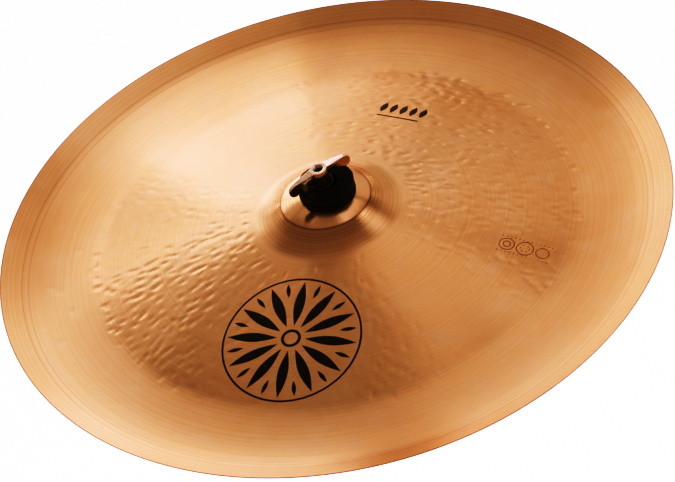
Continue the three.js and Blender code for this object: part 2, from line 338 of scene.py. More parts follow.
def nut_outline():
    """Half the section of the nut at one of its corners, with rows for the thread in its bore."""
    chamfer_start = (hexagon_flat * 0.94, nut_low)
    chamfer_end = (hexagon_corner, nut_low + hexagon_chamfer)
    below = bend(chamfer_start, (hexagon_corner, nut_low), chamfer_end, 5)
    above = (0, nut_low + nut_high) + below[::-1] * (1, -1)
    rows = np.arange(nut_high - nut_mouth, nut_low + nut_mouth, -thread_row)
    bore = np.stack([nut_bore + 0 * rows, rows], -1)
    mouth = nut_bore + nut_mouth
    return np.concatenate([[(mouth, nut_low)], below, above, [(mouth, nut_high)], bore])


def six_flats(radius, angle, height):
    """Cuts six flats on the nut, with corners on the Y axis, and the thread in its bore."""
    across = (angle + math.pi / 6) % (math.pi / 3) - math.pi / 6
    in_bore = radius < nut_bore + nut_mouth / 2
    groove = thread_depth * 0.6 * (1 - tooth(angle, height))
    outside = np.minimum(radius, hexagon_flat / np.cos(across))
    return np.where(in_bore, radius + groove, outside), height


new_piece(
    "hexagon_nut", *revolve(nut_outline(), hexagon_sides, reshape=six_flats),
    zinc, "post", "steel", ["seat_nut"], crease=25,
)

# Seat cup. A washer pressed from steel sheet, with a low wall that keeps the lower felt round. It
# lies on the seat nut.
cup_low, cup_high = (corner.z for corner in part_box("seat_washer"))
cup_outside = 18.5 * mm
cup_sheet = 1.2 * mm
cup_bore = 3.3 * mm
cup_bend = 0.9 * mm
cup_sides = 128
cup_inside = cup_outside - cup_sheet
cup_floor = cup_low + cup_sheet
cup_section = [
    (cup_bore, cup_low), (cup_outside, cup_low), (cup_outside, cup_high),
    (cup_inside, cup_high), (cup_inside, cup_floor), (cup_bore, cup_floor),
]


def spun_lines_effect():
    """Rings round Z, as a lathe leaves them: a height and a shade that follow the radius alone."""
    tree, start, end = new_effect("spun lines", ["Spacing"], ["Radius", "Height", "Shade"])
    inputs = {0: start["Place"], 1: (1.0, 1.0, 0.0)}
    flat = put(tree, "ShaderNodeVectorMath", inputs, operation="MULTIPLY").outputs[0]
    radius = put(tree, "ShaderNodeVectorMath", {0: flat}, operation="LENGTH").outputs["Value"]
    along = calc("DIVIDE", radius, start["Spacing"])
    tree.links.new(radius, end["Radius"])
    for label, scale, detail, roughness in (("Height", 1.0, 3.0, 0.7), ("Shade", 0.4, 2.0, 0.5)):
        inputs = {"W": along, "Scale": scale, "Detail": detail, "Roughness": roughness}
        lines = put(tree, "ShaderNodeTexNoise", inputs, noise_dimensions="1D")
        tree.links.new(lines.outputs["Fac"], end[label])
    return tree


spun_lines = spun_lines_effect()


def pressed_steel():
    """The cup's steel: rings from the press tool, cloudy and a little scratched."""
    finish, shader, place = new_finish("pressed steel", Metallic=1.0)
    rings = effect(spun_lines, place, Spacing=0.35 * mm)
    _, scratch, bare = wear(place, 0.01, 0.3)
    cloud = calc("MULTIPLY", calc("ADD", noise_at(place, 160.0), rings["Shade"]), 0.5)
    colour = mix(band(cloud, 0.35, 0.65), zinc_bright, zinc_dull)
    colour = mix(bare, colour, zinc_worn)
    rough = band(cloud, 0.3, 0.7, 0.26, 0.42)
    relief = calc("SUBTRACT", rings["Height"], scratch)
    dress(shader, colour, rough, relief, 0.3, 0.06 * mm)
    return finish


new_piece(
    "seat_cup", *revolve(soft_corners(cup_section, cup_bend), cup_sides),
    pressed_steel(), "post", "steel", ["seat_washer"],
)

# Rod sleeve. A black nylon tube with a flange, moulded in two halves of a tool. It keeps the
# bronze off the thread, turns freely on the rod, and carries the felts.
sleeve_low, sleeve_high = (corner.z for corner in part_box("post_sleeve"))
sleeve_bore = 3.3 * mm
sleeve_outside = 5 * mm
flange_outside = 12 * mm
flange_top = sleeve_low + 1.2 * mm
moulding_corner = 0.25 * mm
parting_height = 0.06 * mm
parting_width = 0.35 * mm
sleeve_sides = 120
nylon_black = (0.010, 0.010, 0.011, 1)
nylon_grey = (0.030, 0.029, 0.028, 1)
sleeve_section = [
    (sleeve_bore, sleeve_low), (flange_outside, sleeve_low), (flange_outside, flange_top),
    (sleeve_outside, flange_top), (sleeve_outside, sleeve_high), (sleeve_bore, sleeve_high),
]


def nylon():
    """Moulded black nylon: a fine matt skin, rubbed grey at its edges."""
    finish, shader, place = new_finish("black nylon", IOR=1.53)
    cloud = noise_at(place, 200.0)
    rubbed = calc("MULTIPLY", wear(place, 0.0, 0.35)[2], 0.7)
    colour = mix(calc("MULTIPLY", cloud, 0.4), nylon_black, nylon_grey)
    colour = mix(rubbed, colour, nylon_grey)
    rough = band(cloud, 0.3, 0.7, 0.38, 0.55)
    dress(shader, colour, rough, noise_at(place, 3200.0, 2.0), 0.2, 0.05 * mm)
    return finish


def parting_line(radius, angle, height):
    """Sinks the tube a little and leaves a thin ridge on both sides, where the tool's halves met."""
    off_line = abs((angle + math.pi / 2) % math.pi - math.pi / 2) * radius
    sunk = parting_height * (1 - np.exp(-((off_line / parting_width) ** 2)))
    return radius - sunk * (radius > sleeve_bore + moulding_corner), height


black_nylon = nylon()
new_piece(
    "rod_sleeve",
    *revolve(soft_corners(sleeve_section, moulding_corner), sleeve_sides, reshape=parting_line),
    black_nylon, "swivel", "black_nylon", ["post_sleeve"],
)

# Cymbal. One sheet of cast bronze, 17 inches across: hammered over its bow, turned on a lathe
# round the bell and from the fold outwards, and bent up at its lip. It hangs between the felts.
rim_radius = min(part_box("cymbal_plate")[1][:2])
rim_height = 30 * mm
crease_radius = 28.9 * mm
crease_height = 16.9 * mm
bell_rise = 4.6 * mm
shoulder_width = 19.1 * mm
shoulder_drop = 10.2 * mm
bow_crown = 1.2 * mm
bow_end_depth = 11.5 * mm
fold_width = 12 * mm
fold_drop = 0.9 * mm
shoulder_hollow = 0.62
fold_hollow = 0.38
climb_hollow = 0.56
climb_width = 36.5 * mm
climb_slope = 0.231
lip_width = 16.4 * mm
lip_depth = 8 * mm
lip_bend = 3.5 * mm
hole_radius = 6.35 * mm
bell_thickness = 1.4 * mm
bow_thickness = 0.9 * mm
edge_thickness = 0.75 * mm
edge_round = 0.25 * mm
sheet_sides = 720
sheet_angles = np.arange(sheet_sides) * (2 * math.pi / sheet_sides)
shoulder_radius = crease_radius + shoulder_width
fold_radius = rim_radius - lip_width - climb_width
bow_end = fold_radius - fold_width
lip_start = rim_radius - lip_width


def sheet_section():
    """Radius and height of the cymbal's upper face, from inside the hole to the rim."""
    sphere = (crease_radius**2 + bell_rise**2) / (2 * bell_rise)
    bell = np.linspace(hole_radius / 2, crease_radius, 60)
    bell_height = crease_height + bell_rise - sphere + np.sqrt(sphere**2 - bell**2)
    shoulder_height = crease_height - shoulder_drop
    shoulder_turn = crease_radius + shoulder_hollow * shoulder_width
    bow_turn = (shoulder_radius + bow_end) / 2
    bow_turn_height = (shoulder_height - bow_end_depth) / 2 + 2 * bow_crown
    bow_slope = (bow_turn_height - shoulder_height) / (bow_turn - shoulder_radius)
    lowest = -bow_end_depth - fold_drop
    stops = [
        (crease_radius, crease_height),
        (shoulder_radius, shoulder_height),
        (bow_end, -bow_end_depth),
        (fold_radius, lowest),
        (lip_start - lip_bend, -lip_depth - lip_bend * climb_slope),
        (lip_start + lip_bend, -lip_depth + lip_bend * lip_depth / lip_width),
    ]
    turns = [
        (shoulder_turn, shoulder_height + bow_slope * (shoulder_turn - shoulder_radius)),
        (bow_turn, bow_turn_height),
        (bow_end + fold_hollow * fold_width, lowest),
        (fold_radius + climb_hollow * climb_width, lowest),
        (lip_start, -lip_depth),
    ]
    curves = [bend(start, turn, end, 40)[1:] for start, turn, end in zip(stops, turns, stops[1:])]
    face = np.concatenate([np.stack([bell, bell_height], 1), *curves, [(rim_radius, 0)]])
    return face + (0, rim_height)


section = sheet_section()
thickness_places = [crease_radius, fold_radius, rim_radius]
thicknesses = [bell_thickness, bow_thickness, edge_thickness]


def face_height(radius):
    """Height of the smooth upper face at a radius."""
    return np.interp(radius, section[:, 0], section[:, 1])


def underside_height(radius):
    """Height of the smooth lower face at a radius."""
    return face_height(radius) - np.interp(radius, thickness_places, thicknesses)


# Each hammer blow leaves a long dent with metal pushed up around it, right through the sheet. The
# blows lie in uneven rings over the bow. On one side of it they point at the bell, and on the
# other side, where the smith stood otherwise, they all keep one direction.
blow_ring_step = 6.5 * mm
blow_rings = np.arange(56 * mm, 156 * mm, blow_ring_step)
blow_spacing = 6.5 * mm
blow_scatter = 0.45
blow_length = 3.6 * mm
blow_width = 2.0 * mm
blow_depth = 0.30 * mm
blow_slant = 0.2
blow_reach = 2.6
blow_bulge = 0.35
blow_sides = (math.radians(200), math.radians(28))
blow_shares = (0.85, 2.0)
blow_least = 0.15
blow_lie = math.radians(-27)
stray_blows = 60
struck_step = 0.5 * mm


def hammer_blows():
    """Radius, angle, length, width, force and direction of every blow."""
    random = np.random.default_rng(17)
    blows = []
    for row, ring in enumerate(blow_rings):
        count = round(2 * math.pi * ring / blow_spacing)
        for number in range(count):
            angle = (number + row / 2 + random.uniform(-1, 1) * blow_scatter) * 2 * math.pi / count
            radius = ring + random.uniform(-1, 1) * blow_scatter * blow_ring_step
            size = random.uniform(0.7, 1.3)
            towards_bell, fixed = (math.cos(angle - side) for side in blow_sides)
            share = blow_least + max(0, blow_shares[0] * towards_bell, blow_shares[1] * fixed)
            force = random.uniform(0.1, 1.0) ** 1.3 * share
            width = blow_width * random.uniform(0.75, 1.3)
            lie = angle if towards_bell > fixed else blow_lie
            blows.append((radius, angle, blow_length * size, width, force, lie))
    for _ in range(stray_blows):
        radius = random.uniform(bow_end, lip_start - 2 * blow_length)
        blows.append((radius, random.uniform(0, 2 * math.pi), blow_length, blow_width * 1.6, 0.2, 0))
    return blows


def struck_sheet():
    """How far the blows move each point of the sheet, by radius and by angle."""
    radii = np.arange(blow_rings[0] - 3 * blow_length, lip_start, struck_step)
    moved = np.zeros((len(radii), sheet_sides))
    slants = np.random.default_rng(29)
    for radius, angle, length, width, force, lie in hammer_blows():
        across = ((sheet_angles - angle + math.pi) % (2 * math.pi) - math.pi) * radius
        rows = np.flatnonzero(abs(radii - radius) < blow_reach * length)
        sides = np.flatnonzero(abs(across) < blow_reach * length)
        outward, aside = (radii[rows] - radius)[:, None], across[sides][None]
        turn = lie - angle + slants.normal(0, blow_slant)
        along = outward * math.cos(turn) + aside * math.sin(turn)
        off_line = aside * math.cos(turn) - outward * math.sin(turn)
        spread = (along / length) ** 2 + (off_line / width) ** 2
        dent = blow_depth * force * (blow_bulge * np.exp(-spread / 2) - np.exp(-spread * 1.2))
        moved[np.ix_(rows, sides)] += dent
    return radii, moved


struck_radii, struck = struck_sheet()


def struck_at(radius):
    """The blows' ring of heights at a radius, and none outside the hammered band."""
    place = (radius - struck_radii[0]) / struck_step
    row = int(place)
    if not 0 <= place < len(struck_radii) - 1:
        return 0 * sheet_angles
    return struck[row] + (place - row) * (struck[row + 1] - struck[row])


# Slow waves that hammering leaves in the sheet: height, number round the sheet, turn and twist.
waves = ((0.10 * mm, 5, 1.3, 40), (0.07 * mm, 9, 0.0, -55))
calm_bell = 40 * mm
calm_rim = 40 * mm
calm_fade = 60 * mm


def sway_at(radius):
    """The waves' ring of heights at a radius. The bell and the rim stay true."""
    sway = 0
    for height, count, turn, twist in waves:
        sway = sway + height * np.sin(count * sheet_angles + turn + radius * twist)
    return sway * np.clip(min((radius - calm_bell) / calm_fade, (rim_radius - radius) / calm_rim), 0, 1)


groove_spacing = 2.2 * mm
groove_width = 0.55 * mm
groove_depth = 0.03 * mm


def turned_grooves(seed):
    """The lathe's cut as a function of the radius: full on the shoulder, and from the fold outwards."""
    random = np.random.default_rng(seed)
    places = np.arange(crease_radius + groove_spacing / 2, lip_start, groove_spacing)
    places = places + random.uniform(-0.45, 0.45, len(places)) * groove_spacing
    inner = np.clip((shoulder_radius - places) / (8 * mm) + 0.5, 0.08, 1)
    outer = np.clip((places - bow_end) / (10 * mm) + 0.6, 0.08, 1)
    depths = groove_depth * random.uniform(0.2, 1, len(places)) * np.maximum(inner, outer)
    return lambda radius: (np.exp(-(((radius - places) / groove_width) ** 2)) * depths).sum()


def stations(steps):
    """Radii from hole to rim, at a step of its own on the bell, shoulder, bow, bend and lip."""
    bounds = [hole_radius + edge_round, crease_radius, shoulder_radius, bow_end, lip_start]
    bounds.append(rim_radius - edge_round)
    radii = []
    for start, end, step in zip(bounds, bounds[1:], steps):
        radii.extend(np.linspace(start, end, max(2, round((end - start) / step)), endpoint=False))
    return np.array(radii + [bounds[-1]])


def hammered(radius, angle, height):
    """Moves every ring of the sheet by its blows and waves."""
    return radius, height + np.stack([struck_at(ring) + sway_at(ring) for ring in radius[:, 0]])


def sheet_mesh():
    """Points and faces of the cymbal: out over its underside, round the rim, and back over its top."""
    upper_groove, lower_groove = turned_grooves(3), turned_grooves(5)
    rings = []
    for radius in stations(np.array([2.0, 1.0, 1.4, 1.2, 2.4]) * mm):
        rings.append((radius, underside_height(radius) + lower_groove(radius)))
    rings.append((rim_radius, underside_height(rim_radius) + edge_round))
    rings.append((rim_radius, face_height(rim_radius) - edge_round))
    for radius in stations(np.array([1.0, 0.45, 0.8, 0.6, 1.2]) * mm)[::-1]:
        rings.append((radius, face_height(radius) - upper_groove(radius)))
    rings.append((hole_radius, face_height(hole_radius) - edge_round))
    rings.append((hole_radius, underside_height(hole_radius) + edge_round))
    return revolve(rings, sheet_sides, reshape=hammered)


# A pressed mark: a row of rings and dots struck cold into the bow, each line a fine furrow.
stamp_angle = math.radians(328.5)
stamp_radius = 129 * mm
stamp_half_length = 18 * mm
stamp_half_width = 7 * mm
stamp_line = 0.36 * mm
stamp_depth = 0.18 * mm
stamp_rings = ((-11.5 * mm, 4.6 * mm), (-11.5 * mm, 2.2 * mm), (0, 5.2 * mm), (11 * mm, 4.0 * mm))
stamp_dot_step = 2.6 * mm
stamp_dot_row = 6.2 * mm
stamp_dots = [
    (spot * stamp_dot_step, row) for spot in range(-6, 7) for row in (-stamp_dot_row, stamp_dot_row)
]
stamp_dots += [polar(stamp_dot_step, turn) for turn in np.arange(6) * math.pi / 3]
stamp_dot_size = 0.45 * mm


def stamp_mark(along, across):
    """How fully the stamp is pressed at places on it, from 0 to 1."""
    pressed = 0 * along
    for middle, radius in stamp_rings:
        off_line = abs(np.hypot(along - middle, across) - radius)
        pressed = np.maximum(pressed, np.exp(-((off_line / stamp_line) ** 2)))
    for spot, side in stamp_dots:
        off_dot = np.hypot(along - spot, across - side)
        pressed = np.maximum(pressed, np.exp(-((off_dot / stamp_dot_size) ** 2)))
    return pressed


def places_of(mesh):
    """The places of a mesh's points, as rows."""
    places = np.empty(3 * len(mesh.vertices))
    mesh.vertices.foreach_get("co", places)
    return places.reshape(-1, 3)


def turn_places(x, y, middle, angle):
    """Places turned by an angle, then moved to their middle."""
    cos, sin = math.cos(angle), math.sin(angle)
    return np.stack([x * cos - y * sin + middle[0], x * sin + y * cos + middle[1]], -1)


def on_stamp(places, margin):
    """Which points of the upper face lie under the stamp, and where: along it and across it."""
    x, y, z = places.T
    along, across = turn_places(x, y, (-stamp_radius, 0), -stamp_angle).T
    near = (abs(along) < stamp_half_length + margin) & (abs(across) < stamp_half_width + margin)
    return near & (z > face_height(np.hypot(x, y)) - bow_thickness / 2), along, across


def press_stamp(piece):
    """Divides the faces under the stamp, and presses the mark into them."""
    under, _, _ = on_stamp(places_of(piece.data), 0)
    sheet = bmesh.new()
    sheet.from_mesh(piece.data)
    edges = [edge for edge in sheet.edges if under[edge.verts[0].index] and under[edge.verts[1].index]]
    bmesh.ops.subdivide_edges(sheet, edges=edges, cuts=5, use_grid_fill=True)
    sheet.to_mesh(piece.data)
    sheet.free()
    places = places_of(piece.data)
    under, along, across = on_stamp(places, 2 * mm)
    pressed = np.where(under, stamp_mark(along, across), 0)
    places[:, 2] -= stamp_depth * pressed
    piece.data.vertices.foreach_set("co", places.ravel())
    piece.data.attributes.new("pressed", "FLOAT", "POINT").data.foreach_set("value", pressed)
    piece.data.update()


bronze_mid = (0.87, 0.44, 0.215, 1)
bronze_deep = (0.83, 0.36, 0.15, 1)
bronze_pale = (0.93, 0.58, 0.36, 1)
# Tarnish in the stamp's furrows, and painted shade in the crease, in the bend of the lip and along the
# rim.
bronze_tarnish_and_shade = (0.30, 0.10, 0.04, 1)
# A darker ring round the shoulder: its middle radius, its half width and how dark it is.
shoulder_dark_ring = (34 * mm, 14 * mm)
shoulder_dark_depth = 0.25
# Thin dark lines, each a radius, a width and how dark: painted shade in the bell's crease, two dark
# lines round the shoulder, painted shade in the bend of the lip, and painted shade along the rim's edge.
dark_lines = (
    (crease_radius, 0.8 * mm, 0.9), (crease_radius + 2.6 * mm, 0.4 * mm, 0.3),
    (crease_radius + 5.5 * mm, 0.5 * mm, 0.35), (lip_start - 0.6 * mm, 0.7 * mm, 0.2),
    (lip_start + 3.5 * mm, 0.7 * mm, 0.25), (rim_radius, 1.3 * mm, 0.8),
)


def bronze():
    """Cymbal bronze: fine spun lines, slow changes of tone, tarnish in its stamped mark, a darker ring
    and two dark lines round the shoulder, and painted shade in its crease, in the bend of its lip and
    along its rim.
    """
    finish, shader, place = new_finish(
        "cymbal bronze", Metallic=1.0, Anisotropic=0.85, Anisotropic_Rotation=0.25,
    )
    rings = effect(spun_lines, place, Spacing=0.5 * mm)
    tree = shader.id_data
    pressed = put(tree, "ShaderNodeAttribute", attribute_name="pressed").outputs["Fac"]
    around = put(tree, "ShaderNodeTangent", direction_type="RADIAL", axis="Z").outputs[0]
    broad = noise_at(place, 9.0)
    patches = noise_at(place, 60.0, 6.0, 0.65)
    turned = band(rings["Radius"], bow_end, fold_radius + 8 * mm)
    colour = mix(band(broad, 0.3, 0.7, 0.0, 0.7), bronze_mid, bronze_deep)
    colour = mix(band(patches, 0.4, 0.8, 0.0, 0.25), colour, bronze_pale)
    colour = mix(band(rings["Shade"], 0.4, 0.7, 0.0, 0.2), colour, bronze_pale)
    colour = mix(band(rings["Shade"], 0.5, 0.3, 0.0, 0.25), colour, bronze_deep)
    # A darker ring round the shoulder, then the dark lines: painted shade in the crease, the lip's bend
    # and the rim's edge. Tarnish in the stamp's furrows.
    darkened = calc("MULTIPLY", line_at(rings["Radius"], *shoulder_dark_ring), shoulder_dark_depth)
    darkened = calc("MULTIPLY", darkened, band(rings["Shade"], 0.6, 0.35, 0.3, 1.0))
    for middle, width, depth in dark_lines:
        dark_line = calc("MULTIPLY", line_at(rings["Radius"], middle, width), depth)
        darkened = calc("MAXIMUM", darkened, dark_line)
    colour = mix(calc("MAXIMUM", darkened, pressed), colour, bronze_tarnish_and_shade)
    bell_gloss = band(rings["Radius"], crease_radius, crease_radius + 8 * mm, -0.10, 0.0)
    rough = calc("ADD", band(patches, 0.3, 0.7, 0.28, 0.32), bell_gloss)
    rough = calc("MULTIPLY_ADD", turned, 0.03, rough)
    rough = calc("MULTIPLY_ADD", pressed, 0.2, rough)
    lines = calc("ADD", rings["Height"], rings["Shade"])
    cut = calc("MULTIPLY_ADD", turned, 0.2, 0.4)
    dress(shader, colour, rough, calc("MULTIPLY", lines, cut), 0.4, 0.1 * mm, Tangent=around)
    return finish


cymbal = new_piece(
    "cymbal_sheet", *sheet_mesh(), bronze(), "cymbal", "bronze", ["cymbal_plate"], crease=14,
)
press_stamp(cymbal)

# Printed rosette and label. Black ink, screened through a stencil onto the finished bronze: a
# film too thin to feel, which is rubbed through in small spots.
above_cymbal = 0.2
film_lift = 0.05 * mm
film_thickness = 0.03 * mm
rosette_place = (104 * mm, math.radians(246))
rosette_petals = 12
petal_inner = 9 * mm
petal_outer = 41 * mm
petal_width = 6.4 * mm
small_leaf = (0.25 * petal_outer, 0.4 * petal_width)
small_leaf_radius = 0.86 * petal_outer
rosette_rings = ((4.4 * mm, 6.2 * mm), (42.6 * mm, 43.8 * mm))
label_place = (107 * mm, math.radians(53))
lozenge_count = 5
lozenge_pitch = 7.2 * mm
lozenge_width = 4.6 * mm
lozenge_height = 11 * mm
bar_size = (30 * mm, 1.1 * mm)
bar_drop = 9.5 * mm
ink_black = (0.008, 0.003, 0.002, 1)
ink_brown = (0.050, 0.014, 0.006, 1)
cymbal_faces = BVHTree.FromObject(cymbal, bpy.context.evaluated_depsgraph_get())


def leaf(length, width, middle=(0, 0), angle=0.0, steps=(44, 8), pointed=True):
    """A pointed leaf or else a bar, as a grid of places, with its long axis at an angle."""
    along = np.linspace(0, 1, steps[0] + 1)[:, None]
    across = np.linspace(-1, 1, steps[1] + 1)[None]
    fullness = np.sin(math.pi * np.clip(along, 0.004, 0.996)) if pointed else 1 + 0 * along
    return turn_places((along - 0.5) * length + 0 * across, fullness * across * width / 2, middle, angle)


def hoop(inner, outer, steps=(200, 3)):
    """A flat ring as a grid of places, whose ends meet."""
    angle = np.linspace(0, 2 * math.pi, steps[0] + 1)[:, None]
    radius = np.linspace(outer, inner, steps[1] + 1)[None]
    return np.stack([radius * np.cos(angle), radius * np.sin(angle)], -1)


def ink(name, tone):
    """Screen ink: flat, dense, and rubbed through to the bronze in small spots."""
    finish, shader, place = new_finish(name, Specular_IOR_Level=0.2)
    rubbed = band(noise_at(place, 520.0, 6.0, 0.7), 0.66, 0.72)
    cloud = noise_at(place, 90.0)
    lighter = tuple(min(1.0, 2.2 * part) for part in tone[:3]) + (1,)
    colour = mix(calc("MULTIPLY", cloud, 0.5), tone, lighter)
    colour = mix(rubbed, colour, bronze_deep)
    rough = band(cloud, 0.3, 0.7, 0.45, 0.6)
    dress(shader, colour, rough, noise_at(place, 1800.0), 0.15, 0.03 * mm, Metallic=rubbed)
    return finish


def settle(piece):
    """Works a piece's modifiers into its mesh."""
    worked = bpy.data.meshes.new_from_object(piece.evaluated_get(bpy.context.evaluated_depsgraph_get()))
    piece.modifiers.clear()
    old = piece.data
    piece.data = worked
    bpy.data.meshes.remove(old)


def print_film(name, grids, place, finish):
    """Lays flat shapes on the cymbal round a place of (radius, angle), as one thin film of ink."""
    radius, angle = place
    points, faces = [], []
    for grid in grids:
        rows, columns = grid.shape[:2]
        first = len(points)
        for x, y in turn_places(grid[..., 0] + radius, grid[..., 1], (0, 0), angle).reshape(-1, 2):
            spot, normal, _, _ = cymbal_faces.ray_cast(Vector((x, y, above_cymbal)), Vector((0, 0, -1)))
            points.append(spot + normal * film_lift)
        corner = first + np.arange(rows - 1)[:, None] * columns + np.arange(columns - 1)
        quads = np.stack([corner, corner + columns, corner + columns + 1, corner + 1], -1)
        faces.extend(quads.reshape(-1, 4).tolist())
    film = new_piece(name, points, faces, finish, "cymbal", "black_nylon", crease=60)
    film.modifiers.new("join", "WELD").merge_threshold = film_thickness / 10
    film.modifiers.new("ink", "SOLIDIFY").thickness = film_thickness
    settle(film)


def rosette_shapes():
    """Twelve petals round two rings, with a small leaf between each pair of petals."""
    shapes = [hoop(inner, outer) for inner, outer in rosette_rings]
    for number in range(rosette_petals):
        angle = number * 2 * math.pi / rosette_petals
        between = angle + math.pi / rosette_petals
        petal = (petal_outer - petal_inner, petal_width)
        shapes.append(leaf(*petal, polar((petal_inner + petal_outer) / 2, angle), angle))
        shapes.append(leaf(*small_leaf, polar(small_leaf_radius, between), between, steps=(16, 4)))
    return shapes


def label_shapes():
    """A row of lozenges across the radius, over a thin bar."""
    shapes = []
    for number in range(lozenge_count):
        side = (number - (lozenge_count - 1) / 2) * lozenge_pitch
        shapes.append(leaf(lozenge_height, lozenge_width, (0, side), steps=(24, 6)))
    shapes.append(leaf(*bar_size, (-bar_drop, 0), math.pi / 2, (60, 2), pointed=False))
    return shapes


print_film("printed_rosette", rosette_shapes(), rosette_place, ink("black ink", ink_black))
print_film("printed_label", label_shapes(), label_place, ink("brown ink", ink_brown))

# Felts. Discs punched from black wool felt. The lower one fills the hollow of the bell, one is
# moulded over the crown by the pull of the nut, and a flat one lies on that.
felt_radius = 18.1 * mm
felt_hole = 7.6 * mm
seat_felt_radius = 17 * mm
seat_felt_hole = 5.3 * mm
felt_shift = 2.3 * mm
felt_touch = 0.06 * mm
felt_edge = 1.1 * mm
felt_wave = 0.22 * mm
felt_grain = 3.4 * mm
felt_sides = 144
felt_step = 0.6 * mm
fibre_count = 600
fibre_length = 1.0 * mm
fibre_radius = 0.022 * mm
felt_black = (0.006, 0.004, 0.004, 1)
felt_grey = (0.022, 0.016, 0.014, 1)


def wool_felt():
    """Black wool felt: matted fibres, paler where lint and dust have caught."""
    finish, shader, place = new_finish("black felt", Sheen_Weight=0.05, Sheen_Roughness=0.6, IOR=1.3)
    fibres = noise_at(place, 1900.0, 5.0, 0.7)
    tufts = noise_at(place, 330.0, 4.0, 0.6)
    colour = mix(band(fibres, 0.4, 0.75), felt_black, felt_grey)
    colour = mix(band(tufts, 0.55, 0.8, 0.0, 0.5), colour, felt_grey)
    rough = band(tufts, 0.3, 0.7, 0.88, 1.0)
    dress(shader, colour, rough, calc("ADD", fibres, tufts), 0.7, 0.25 * mm)
    return finish


def felt_outline(hole, radius, low, high):
    """Section of a felt ring in close rows, from its lower height and a function for its upper one."""
    inside = radius - felt_edge
    top = high(radius)
    out = np.arange(hole + felt_step, inside, felt_step)
    rows = [(place, low) for place in (hole, *out)]
    rows.extend(bend((inside, low), (radius, low), (radius, low + felt_edge), 5))
    rows.extend(bend((radius, top - felt_edge), (radius, top), (inside, high(inside)), 5))
    rows.extend((place, high(place)) for place in (*out[::-1], hole))
    return np.array(rows)


def uneven(seed, lower_share=0.3):
    """Makes a felt's edge wander and its faces dimple, the lower one by a share of the upper."""
    def reshape(radius, angle, height):
        spots = np.stack([radius * np.cos(angle), radius * np.sin(angle), height], -1) / felt_grain
        wander = [noise.noise(Vector(spot) + Vector((seed, 0, 0))) for spot in spots.reshape(-1, 3)]
        wander = np.array(wander).reshape(radius.shape)
        facing = np.where(height > (height.max() + height.min()) / 2, -1, lower_share)
        outer = np.clip((radius - radius.min()) / (radius.max() - radius.min()), 0, 1)
        sunk = felt_wave * 0.5 * (1 + wander) * outer
        return radius - felt_wave * outer * (0.7 - 1.2 * wander), height + facing * sunk
    return reshape


def add_fibres(piece, seed):
    """Stands stray fibres on a felt, each a thin closed spike that leans and bends."""
    random = np.random.default_rng(seed)
    spokes = [polar(1, turn * 2 * math.pi / 3) for turn in range(3)]
    roots = [(vertex.co.copy(), vertex.normal.copy()) for vertex in piece.data.vertices]
    felt = bmesh.new()
    felt.from_mesh(piece.data)
    for number in random.integers(0, len(roots), fibre_count):
        root, normal = roots[number]
        along = (normal + Vector(random.normal(0, 0.6, 3))).normalized()
        side = along.orthogonal().normalized()
        other = along.cross(side)
        length = fibre_length * random.uniform(0.4, 1.3)
        curl = Vector(random.normal(0, 0.25, 3)) * length
        rings = []
        for share in (0, 0.4, 0.75):
            middle = root - normal * fibre_length / 10 + along * length * share + curl * share**2
            thin = fibre_radius * (1 - 0.6 * share)
            spots = [middle + (side * cos + other * sin) * thin for cos, sin in spokes]
            rings.append([felt.verts.new(spot) for spot in spots])
        tip = felt.verts.new(root + along * length + curl)
        felt.faces.new(rings[0][::-1])
        for turn in range(3):
            after = (turn + 1) % 3
            for lower, upper in zip(rings, rings[1:]):
                felt.faces.new((lower[turn], lower[after], upper[after], upper[turn]))
            felt.faces.new((rings[-1][turn], rings[-1][after], tip))
    felt.to_mesh(piece.data)
    felt.free()
    piece.data.shade_smooth()


def moulded_to_bell(radius, angle, height):
    """Lays the lower face of a felt that is off centre on the bell."""
    radius, height = uneven(5.0, 0.0)(radius, angle, height)
    from_middle = np.hypot(radius * np.cos(angle) + felt_shift, radius * np.sin(angle))
    on_bell = face_height(from_middle) + felt_touch
    share = np.clip((bell_felt_top - height) / (bell_felt_top - bell_felt_low), 0, 1)
    return radius, bell_felt_top + share * (on_bell - bell_felt_top)


black_felt = wool_felt()
bell_felt_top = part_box("bell_felt")[1].z
bell_felt_low = float(face_height(felt_hole))
nut_felt_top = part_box("nut_felt")[1].z
felts = (
    (
        "seat_felt", "lower_felt", uneven(11.0), 0.0, seat_felt_hole, seat_felt_radius,
        flange_top + felt_touch, lambda radius: underside_height(radius) - felt_touch,
    ),
    (
        "bell_felt", "moulded_felt", moulded_to_bell, felt_shift, felt_hole, felt_radius,
        bell_felt_low, lambda radius: bell_felt_top,
    ),
    (
        "nut_felt", "upper_felt", uneven(8.0, 0.6), felt_shift, felt_hole, felt_radius,
        bell_felt_top, lambda radius: nut_felt_top,
    ),
)
for seed, (node, name, reshape, shift, *sizes) in enumerate(felts):
    points, faces = revolve(felt_outline(*sizes), felt_sides, reshape=reshape)
    points = points + (shift, 0, 0)
    felt = new_piece(name, points, faces, black_felt, None, "black_felt", [node], crease=60)
    add_fibres(felt, seed)
    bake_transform(felt)

# Nut washer. A thin black nylon ring that lets the wing nut turn without dragging the felt. It
# turns with the nut.
washer_low, washer_high = (corner.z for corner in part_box("nut_washer"))
washer_outside = 8 * mm
washer_section = [
    (sleeve_bore, washer_low), (washer_outside, washer_low),
    (washer_outside, washer_high), (sleeve_bore, washer_high),
]
new_piece(
    "slip_washer", *revolve(soft_corners(washer_section, moulding_corner), sleeve_sides),
    black_nylon, "nut_washer", "black_nylon", ["nut_washer"],
)

